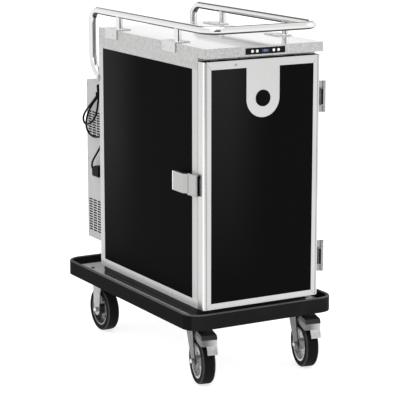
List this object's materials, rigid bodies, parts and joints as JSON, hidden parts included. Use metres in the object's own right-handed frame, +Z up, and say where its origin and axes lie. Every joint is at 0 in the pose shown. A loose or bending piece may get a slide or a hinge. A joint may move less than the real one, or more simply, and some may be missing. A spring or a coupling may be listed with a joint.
{
  "type": "refrigerated banquet trolley",
  "caption": "Insulated banquet trolley with a hinged door, tray runners, rear cooling unit, tubular guard rail and bumper base on braked swivel and fixed casters.",
  "frame": {"origin": "centre of the bumper base on the floor", "axes": "+X to the right seen from the front, -Y towards the front, +Z up"},
  "size_m": [0.54, 0.9451, 1.13],
  "materials": {
    "steel": "brushed stainless sheet",
    "liner_steel": "bright stainless sheet",
    "rail_steel": "polished stainless tube",
    "cast_steel": "satin castings",
    "zinc": "zinc-plated steel",
    "dark_panel": "satin black coating",
    "disc": "satin black",
    "base": "black moulding",
    "deck": "black coating",
    "foam": "rigid foam",
    "gasket": "soft moulding",
    "tyre": "dark rubber",
    "wheel_core": "grey moulding",
    "pedal": "black moulding",
    "bezel": "black gloss",
    "button": "grey keys",
    "unit": "light grey coating",
    "fins": "bare fins",
    "compressor": "black coating",
    "fan": "black moulding",
    "cord": "black sheath",
    "plug": "black moulding"
  },
  "bodies": {
    "trolley": {"base_plate": "deck", "bumper_rim": "base", "plinth": "base", "caster_bolts": "zinc", "front_left_caster_plate": "zinc", "front_right_caster_plate": "zinc", "rear_left_caster_fork": "zinc", "rear_right_caster_fork": "zinc", "rear_axles": "zinc", "insulation_panels": "foam", "outer_casing": "steel", "side_panels": "dark_panel", "inner_liner": "liner_steel", "top_cover": "steel", "tray_runners": "liner_steel", "evaporator_coil": "fins", "evaporator_cover": "liner_steel", "latch_body": "cast_steel", "hinge_brackets": "cast_steel", "hinge_pins": "zinc", "guard_rail": "rail_steel", "rail_posts": "rail_steel", "control_panel": "bezel", "unit_housing": "unit", "compressor": "compressor", "condenser": "fins", "power_cord": "cord", "power_plug": "plug", "cord_gland": "plug", "cord_hooks": "plug"},
    "door": {"door_pan": "steel", "door_core": "foam", "door_panel": "dark_panel", "door_disc": "disc", "door_gasket": "gasket", "latch_keeper": "cast_steel", "hinge_arms": "cast_steel"},
    "latch": {"latch_lever": "cast_steel"},
    "condenser_fan": {"condenser_fan": "fan"},
    "evaporator_fan": {"evaporator_fan": "fan"},
    "front_left_swivel": {"front_left_caster_fork": "zinc", "front_left_caster_axle": "zinc"},
    "front_left_wheel": {"front_left_wheel_core": "wheel_core", "front_left_tyre": "tyre"},
    "front_left_brake": {"front_left_brake_lever": "zinc", "front_left_brake_hood": "pedal"},
    "front_right_swivel": {"front_right_caster_fork": "zinc", "front_right_caster_axle": "zinc"},
    "front_right_wheel": {"front_right_wheel_core": "wheel_core", "front_right_tyre": "tyre"},
    "front_right_brake": {"front_right_brake_lever": "zinc", "front_right_brake_hood": "pedal"},
    "rear_left_wheel": {"rear_left_wheel_core": "wheel_core", "rear_left_tyre": "tyre"},
    "rear_right_wheel": {"rear_right_wheel_core": "wheel_core", "rear_right_tyre": "tyre"},
    "button_one": {"button_one": "button"},
    "button_two": {"button_two": "button"},
    "button_three": {"button_three": "button"},
    "button_four": {"button_four": "button"}
  },
  "joints": [
    {"name": "door_hinge", "type": "hinge", "parent": "trolley", "child": "door", "pos_m": [0.231, -0.427, 0.6305], "axis": [0, 0, 1], "range_deg": [0, 270]},
    {"name": "latch_pivot", "type": "hinge", "parent": "trolley", "child": "latch", "pos_m": [-0.2225, -0.4049, 0.638], "axis": [0, 0, 1], "range_deg": [0, 35], "stiffness_Nm_per_rad": 0.6},
    {"name": "front_left_swivel", "type": "hinge", "parent": "trolley", "child": "front_left_swivel", "pos_m": [-0.192, -0.366, 0.185], "axis": [0, 0, 1], "continuous": true},
    {"name": "front_left_wheel_spin", "type": "hinge", "parent": "front_left_swivel", "child": "front_left_wheel", "pos_m": [-0.19998, -0.4052, 0.075], "axis": [0.9799, -0.1994, 0], "continuous": true},
    {"name": "front_left_brake_pedal", "type": "hinge", "parent": "front_left_swivel", "child": "front_left_brake", "pos_m": [-0.19718, -0.39148, 0.161], "axis": [0.9799, -0.1994, 0], "range_deg": [0, 6.5]},
    {"name": "front_right_swivel", "type": "hinge", "parent": "trolley", "child": "front_right_swivel", "pos_m": [0.192, -0.366, 0.185], "axis": [0, 0, 1], "continuous": true},
    {"name": "front_right_wheel_spin", "type": "hinge", "parent": "front_right_swivel", "child": "front_right_wheel", "pos_m": [0.18402, -0.4052, 0.075], "axis": [0.9799, -0.1994, 0], "continuous": true},
    {"name": "front_right_brake_pedal", "type": "hinge", "parent": "front_right_swivel", "child": "front_right_brake", "pos_m": [0.18682, -0.39148, 0.161], "axis": [0.9799, -0.1994, 0], "range_deg": [0, 6.5]},
    {"name": "rear_left_wheel_spin", "type": "hinge", "parent": "trolley", "child": "rear_left_wheel", "pos_m": [-0.188, 0.308, 0.075], "axis": [1, 0, 0], "continuous": true},
    {"name": "rear_right_wheel_spin", "type": "hinge", "parent": "trolley", "child": "rear_right_wheel", "pos_m": [0.188, 0.308, 0.075], "axis": [1, 0, 0], "continuous": true},
    {"name": "button_one_press", "type": "slide", "parent": "trolley", "child": "button_one", "axis": [0, 1, 0], "range_m": [0, 0.001], "stiffness_N_per_m": 300},
    {"name": "button_two_press", "type": "slide", "parent": "trolley", "child": "button_two", "axis": [0, 1, 0], "range_m": [0, 0.001], "stiffness_N_per_m": 300},
    {"name": "button_three_press", "type": "slide", "parent": "trolley", "child": "button_three", "axis": [0, 1, 0], "range_m": [0, 0.001], "stiffness_N_per_m": 300},
    {"name": "button_four_press", "type": "slide", "parent": "trolley", "child": "button_four", "axis": [0, 1, 0], "range_m": [0, 0.001], "stiffness_N_per_m": 300},
    {"name": "condenser_fan_spin", "type": "hinge", "parent": "trolley", "child": "condenser_fan", "pos_m": [0.095, 0.349, 0.4075], "axis": [0, 1, 0], "continuous": true},
    {"name": "evaporator_fan_spin", "type": "hinge", "parent": "trolley", "child": "evaporator_fan", "pos_m": [0, 0.183, 0.812], "axis": [0, 1, 0], "continuous": true}
  ]
}
